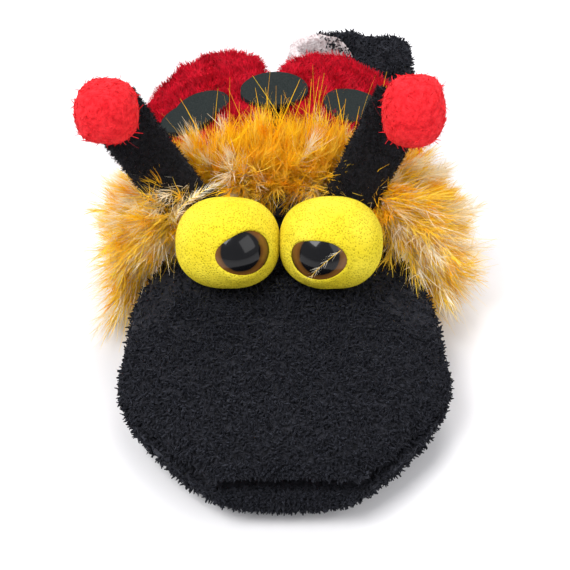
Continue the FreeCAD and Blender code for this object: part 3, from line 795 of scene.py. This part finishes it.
def boa_path(share):
    """Places along the boa, from -1 at the left foot to 1 at the right, and the way out."""
    centre, half = box_of("boa_feathers")
    side, top = half[0] - 14, centre[2] + half[2] - 14
    bend = top - 19.5
    flat = side - bend
    lengths = np.array([flat, bend * math.pi / 2, 5.2])
    along = np.abs(share) * lengths.sum()
    turn = np.clip((along - flat) / lengths[1], 0, 1) * math.pi / 2
    drop = np.clip(along - lengths[:2].sum(), 0, None)
    sign = np.where(share < 0, -1.0, 1.0)
    x = np.minimum(along, flat) + bend * np.sin(turn)
    z = 19.5 + bend * np.cos(turn) - drop
    place = np.stack([sign * x, np.full_like(x, centre[1]), z], -1)
    out = np.stack([sign * np.sin(turn), np.zeros_like(x), np.cos(turn)], -1)
    return place, out


def down(roots, heading, length, bend, barbs, rng, fine=1.0):
    """Plumes: many soft barbs leaving each unseen shaft and curling towards its tip."""
    count = len(roots)
    pick = rng.integers(0, count, barbs)
    t = rng.uniform(0, 0.85, barbs) ** 0.8
    size = length[pick]
    spot = (roots[pick] + heading[pick] * (size * t)[:, None]
            + bend[pick] * (size * t**2)[:, None])
    forward = unit(heading[pick] + 2 * bend[pick] * t[:, None])
    side = unit(np.cross(forward, rng.normal(size=(barbs, 3))))
    open_angle = rng.uniform(0.15, 0.95, barbs)[:, None]
    way = unit(forward * np.cos(open_angle) + side * np.sin(open_angle))
    reach = size * (1 - t) * rng.uniform(0.35, 0.8, barbs) + rng.uniform(3, 6.5, barbs)
    curl = forward * 0.3 - side * rng.uniform(0, 0.35, barbs)[:, None]
    return strands(spot, way, reach, fine * rng.uniform(0.26, 0.5, barbs), 3, rng,
                   curl + rng.normal(size=way.shape) * 0.12, tip=0.12, curl=0.02)


def make_boa(part, low, high, plumes, barbs, seed):
    """One stretch of the marabou: a gold core, paler tips, and down pressed in at the back."""
    rng = np.random.default_rng(seed)
    middle = part == "middle"
    share = rng.uniform(low, high, plumes)
    place, out = boa_path(share)
    spread = rng.normal(size=(plumes, 3))
    if middle:
        heading = unit(out + [0, 0.42, 0.1] + spread * [0.30, 0.42, 0.1])
        length = rng.uniform(13, 27, plumes) * (1 - 0.5 * smooth(np.abs(place[:, 0] + 4), 8, 42))
        front = (np.abs(place[:, 0] + 2) < 20) & (rng.uniform(size=plumes) < 0.6)
        heading[front] = unit(out[front] * 0.62 + [0, -0.95, 0] + spread[front] * 0.2)
        length[front] = rng.uniform(17, 27, front.sum())
    else:
        lift = rng.uniform(-0.85, 1.0, plumes)[:, None]
        sign = -1 if part == "left" else 1
        heading = unit(out * 0.4 + [sign * 0.9, 0.12, 0] + lift * [0, 0, 0.95]
                       + spread * [0.1, 0.34, 0.15])
        length = rng.uniform(11, 21, plumes)
        cheek = rng.uniform(size=plumes) < 0.42
        place[cheek, 1] -= rng.uniform(4, 16, cheek.sum())
        heading[cheek] = unit([sign * 0.32, -0.9, 0.04] + spread[cheek] * [0.22, 0.15, 0.3])
        length[cheek] = rng.uniform(20, 36, cheek.sum())
    bend = spread[:, [2, 0, 1]] * 0.13 + [0, 0.05, 0.02]
    root = place + rng.normal(size=(plumes, 3)) * 2.5
    layers = []
    shades = (0.62, 0.26, 0.12) if middle else (0.36, 0.36, 0.28)
    order = rng.permutation(plumes)
    start = 0
    for kind, part_share in enumerate(shades):
        stop = start + int(plumes * part_share)
        chosen = order[start:stop]
        start = stop
        stretch = 1.0 if kind == 0 else 1.12
        layers.append((*down(root[chosen], heading[chosen], length[chosen] * stretch,
                             bend[chosen], int(barbs * part_share), rng), kind))
    ring_share = np.linspace(low, high, 40)
    core, core_out = boa_path(ring_share)
    wrap = round_angles(24)
    tube = (core[:, None, :] + 4.5 * (np.cos(wrap)[None, :, None] * core_out[:, None, :]
                                     + np.sin(wrap)[None, :, None] * np.array([0, 1.0, 0])))
    tube = tube.reshape(-1, 3)
    tube += ripple(tube, 12, seed + 1, 1.5)[:, None] * 0.6
    layers.append((tube, grid_faces(40, 24, True), 0))
    if middle:
        place, out = boa_path(rng.uniform(low * 0.8, high * 0.8, 150))
        way = unit(out + [0, 0.25, 0.5] + rng.normal(size=place.shape) * [0.42, 0.3, 0.1])
        layers.append((*strands(place + way * 8, way, rng.uniform(16, 34, 150), 0.7, 6, rng,
                                rng.normal(size=place.shape) * 0.22, tip=0.15), 0))
    centre, half = box_of("boa_feathers")
    back = centre[1] + half[1] - 3
    for verts, _, _ in layers:
        beyond = np.maximum(verts[:, 1] - back, 0)
        verts[:, 1] -= beyond * (1 - 1 / (1 + beyond / 3.5))
        verts[:, 2] = np.maximum(verts[:, 2], 0.5)
        verts[:, 0] = np.clip(verts[:, 0], -91, 90)
    obj = build(f"boa_{part}", layers, [DOWN_GOLD, DOWN_LEMON, DOWN_WHITE])
    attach(obj, "head")
    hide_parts("boa_feathers")


make_boa("middle", -0.52, 0.52, 420, 19000, 101)
make_boa("left", -1.0, -0.42, 300, 13500, 111)
make_boa("right", 0.42, 1.0, 300, 13500, 121)


def make_wisp(name, path, barbs, reach, fine, seed):
    """A stray plume: one fine curved shaft with barbs on both sides."""
    rng = np.random.default_rng(seed)

    def along(t):
        return np.stack([curve_at(list(enumerate(line)), t) for line in zip(*path)], -1)

    t = rng.uniform(0, len(path) - 1, barbs)
    point, ahead = along(t), along(t + 0.05)
    forward = unit(ahead - point + 1e-4)
    side = unit(np.cross(forward, [0, -0.8, 0.6])) * rng.choice([-1, 1], barbs)[:, None]
    way = unit(forward + side * rng.uniform(0.3, 0.8, barbs)[:, None])
    size = rng.uniform(0.5, 1.0, barbs) * reach
    hair = strands(point, way, size, fine, 3, rng, forward * 0.25, tip=0.15)
    shaft = along(np.linspace(0, len(path) - 1, 24))
    wrap = round_angles(5)
    section = np.stack([np.cos(wrap), np.sin(wrap) * 0.6, np.sin(wrap)], -1)
    tube = shaft[:, None, :] + fine * 0.6 * section
    obj = build(name, [(*hair, 1), (tube.reshape(-1, 3), grid_faces(24, 5, True), 0)],
                [DOWN_LEMON, DOWN_WHITE])
    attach(obj, "head")


def on_bead(side, points, lift):
    """Places just above the bead, given as sideways and upward steps."""
    _, curve, gaze, right, up = eye_axes(side)
    placed = []
    for across, high in points:
        deep = math.sqrt(DOME**2 - across**2 - high**2)
        placed.append(curve + (across * right + high * up + deep * gaze) * (1 + lift / DOME))
    return placed


make_wisp("bead_wisp", on_bead("right", [(9, 4.6), (5.5, 1.6), (2, -2), (-1.1, -5.9)], 0.8),
          26, 3.4, 0.13, 131)
make_wisp("brow_wisp", [(-45, -60, 55), (-44.5, -62, 62), (-39, -63, 70), (-28, -60, 76)],
          130, 4.6, 0.2, 132)


# ---------------------------------------------------------------- camera, floor and light

def make_stage():
    """Plain pale floor, soft studio light and the camera."""
    size = 3.0
    mesh = bpy.data.meshes.new("floor")
    mesh.from_pydata([(-size, -size, 0), (size, -size, 0), (size, size, 0), (-size, size, 0)],
                     [], [(0, 1, 2, 3)])
    floor = bpy.data.objects.new("floor", mesh)
    bpy.context.scene.collection.objects.link(floor)
    mat = bpy.data.materials.new("floor_paper")
    mat.use_nodes = True
    shader = mat.node_tree.nodes["Principled BSDF"]
    shader.inputs["Base Color"].default_value = (0.86, 0.85, 0.86, 1)
    shader.inputs["Roughness"].default_value = 0.9
    mesh.materials.append(mat)

    bpy.context.scene.view_settings.view_transform = "Standard"
    world = bpy.data.worlds.new("studio")
    bpy.context.scene.world = world
    world.use_nodes = True
    back = world.node_tree.nodes["Background"]
    back.inputs["Color"].default_value = (0.95, 0.96, 1.0, 1)
    back.inputs["Strength"].default_value = 0.56

    lamps = [("key", (-0.45, -0.35, 0.85), 0.5, 7.5), ("fill", (0.6, -0.5, 0.6), 0.7, 3.2),
             ("top", (0.1, 0.5, 0.9), 0.6, 5.0)]
    for name, where, wide, watts in lamps:
        light = bpy.data.lights.new(name, "AREA")
        light.size = wide
        light.energy = watts
        lamp = bpy.data.objects.new(name, light)
        bpy.context.scene.collection.objects.link(lamp)
        lamp.location = where
        aim = Vector((0, -0.03, 0.03)) - Vector(where)
        lamp.rotation_euler = aim.to_track_quat("-Z", "Y").to_euler()

    lens = bpy.data.cameras.new("camera")
    lens.lens = 60
    lens.sensor_width = 36
    camera = bpy.data.objects.new("camera", lens)
    bpy.context.scene.collection.objects.link(camera)
    camera.location = (0, -0.3765, 0.289)
    camera.rotation_euler = (math.radians(50), 0, 0)
    bpy.context.scene.camera = camera


make_stage()
